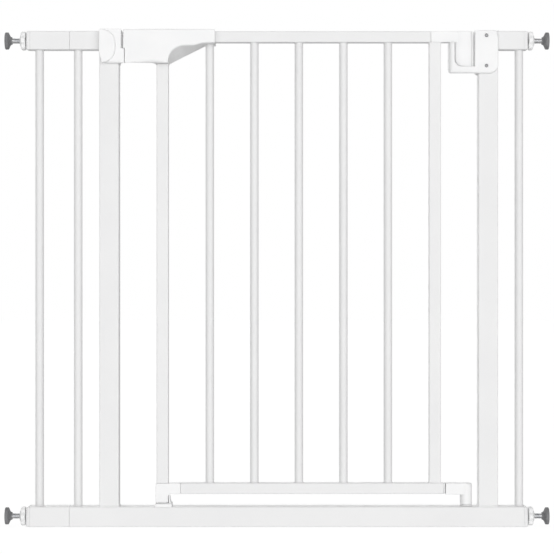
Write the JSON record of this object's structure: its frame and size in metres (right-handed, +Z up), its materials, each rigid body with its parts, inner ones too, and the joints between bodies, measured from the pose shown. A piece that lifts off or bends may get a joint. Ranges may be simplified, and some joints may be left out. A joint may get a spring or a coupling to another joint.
{
  "type": "safety baby gate",
  "caption": "White steel walk-through safety gate held between two walls by hand-screwed pads, with a lift and swing door, a thumb latch and an extension panel.",
  "frame": {"origin": "on the floor, midway between the wall faces and midway through the depth", "axes": "+X to the hinge side along the gate, +Y away from the front towards the back, +Z up"},
  "size_m": [0.8456, 0.047, 0.7728],
  "materials": {
    "white_paint": "smooth powder coat, satin",
    "white_plastic": "moulded, satin",
    "zinc_steel": "zinc plated",
    "grey_rubber": "matte"
  },
  "bodies": {
    "frame": {"bottom_rail": "white_paint", "extension_bottom_rail": "white_paint", "left_post": "white_paint", "right_post": "white_paint", "left_top_rail": "white_paint", "right_top_rail": "white_paint", "extension_top_rail": "white_paint", "extension_rod": "white_paint", "left_frame_rod": "white_paint", "right_frame_rod": "white_paint", "extension_plug_top": "zinc_steel", "extension_plug_bottom": "zinc_steel", "end_cap_bottom_left": "white_plastic", "end_cap_bottom_right": "white_plastic", "end_cap_top_left": "white_plastic", "end_cap_top_right": "white_plastic", "latch_receiver": "white_plastic", "hinge_bracket": "white_plastic", "bracket_screw_upper": "zinc_steel", "bracket_screw_lower": "zinc_steel", "foot_catch": "white_plastic", "catch_screw": "zinc_steel", "pivot_socket": "white_plastic"},
    "hinge_pins": {"upper_hinge_pin": "zinc_steel", "lower_pivot_pin": "zinc_steel"},
    "door": {"door_top_rail": "white_paint", "door_bottom_rail": "white_paint", "door_left_stile": "white_paint", "door_right_stile": "white_paint", "door_rod_1": "white_paint", "door_rod_2": "white_paint", "door_rod_3": "white_paint", "door_rod_4": "white_paint", "door_rod_5": "white_paint", "handle_front_shell": "white_plastic", "handle_rear_shell": "white_plastic", "handle_screw_1": "zinc_steel", "handle_screw_2": "zinc_steel", "door_foot": "white_plastic", "hinge_knuckle": "white_plastic", "pivot_elbow": "white_plastic", "pivot_ring": "grey_rubber", "latch_spring": "zinc_steel"},
    "latch": {"latch_bolt": "zinc_steel", "thumb_slider": "white_plastic"},
    "spindle_bottom_left": {"spindle_bottom_left": "zinc_steel", "wall_pad_bottom_left": "grey_rubber"},
    "nut_bottom_left": {"adjusting_nut_bottom_left": "white_plastic"},
    "spindle_bottom_right": {"spindle_bottom_right": "zinc_steel", "wall_pad_bottom_right": "grey_rubber"},
    "nut_bottom_right": {"adjusting_nut_bottom_right": "white_plastic"},
    "spindle_top_left": {"spindle_top_left": "zinc_steel", "wall_pad_top_left": "grey_rubber"},
    "nut_top_left": {"adjusting_nut_top_left": "white_plastic"},
    "spindle_top_right": {"spindle_top_right": "zinc_steel", "wall_pad_top_right": "grey_rubber"},
    "nut_top_right": {"adjusting_nut_top_right": "white_plastic"}
  },
  "joints": [
    {"name": "door_swing", "type": "hinge", "parent": "frame", "child": "hinge_pins", "pos_m": [0.294, 0, 0], "axis": [0, 0, 1], "range_deg": [-90, 90]},
    {"name": "door_lift", "type": "slide", "parent": "hinge_pins", "child": "door", "axis": [0, 0, 1], "range_m": [0, 0.012]},
    {"name": "latch_slide", "type": "slide", "parent": "door", "child": "latch", "axis": [-1, 0, 0], "range_m": [0, 0.01], "stiffness_N_per_m": 60, "springref_m": 0.014, "deforming": ["latch_spring"]},
    {"name": "nut_spin_bottom_left", "type": "hinge", "parent": "frame", "child": "nut_bottom_left", "pos_m": [-0.3902, 0, 0.01575], "axis": [-1, 0, 0], "range_deg": [-3690, 1890]},
    {"name": "spindle_travel_bottom_left", "type": "slide", "parent": "frame", "child": "spindle_bottom_left", "axis": [-1, 0, 0], "range_m": [-0.01, 0.02]},
    {"name": "nut_spin_bottom_right", "type": "hinge", "parent": "frame", "child": "nut_bottom_right", "pos_m": [0.3902, 0, 0.01575], "axis": [1, 0, 0], "range_deg": [-3690, 1890]},
    {"name": "spindle_travel_bottom_right", "type": "slide", "parent": "frame", "child": "spindle_bottom_right", "axis": [1, 0, 0], "range_m": [-0.01, 0.02]},
    {"name": "nut_spin_top_left", "type": "hinge", "parent": "frame", "child": "nut_top_left", "pos_m": [-0.3902, 0, 0.755], "axis": [-1, 0, 0], "range_deg": [-3690, 1890]},
    {"name": "spindle_travel_top_left", "type": "slide", "parent": "frame", "child": "spindle_top_left", "axis": [-1, 0, 0], "range_m": [-0.01, 0.02]},
    {"name": "nut_spin_top_right", "type": "hinge", "parent": "frame", "child": "nut_top_right", "pos_m": [0.3902, 0, 0.755], "axis": [1, 0, 0], "range_deg": [-3690, 1890]},
    {"name": "spindle_travel_top_right", "type": "slide", "parent": "frame", "child": "spindle_top_right", "axis": [1, 0, 0], "range_m": [-0.01, 0.02]}
  ],
  "couplings": [
    {"joint": "nut_spin_bottom_left", "follows": "spindle_travel_bottom_left", "rad_per_m": -3141.6},
    {"joint": "nut_spin_bottom_right", "follows": "spindle_travel_bottom_right", "rad_per_m": -3141.6},
    {"joint": "nut_spin_top_left", "follows": "spindle_travel_top_left", "rad_per_m": -3141.6},
    {"joint": "nut_spin_top_right", "follows": "spindle_travel_top_right", "rad_per_m": -3141.6}
  ]
}
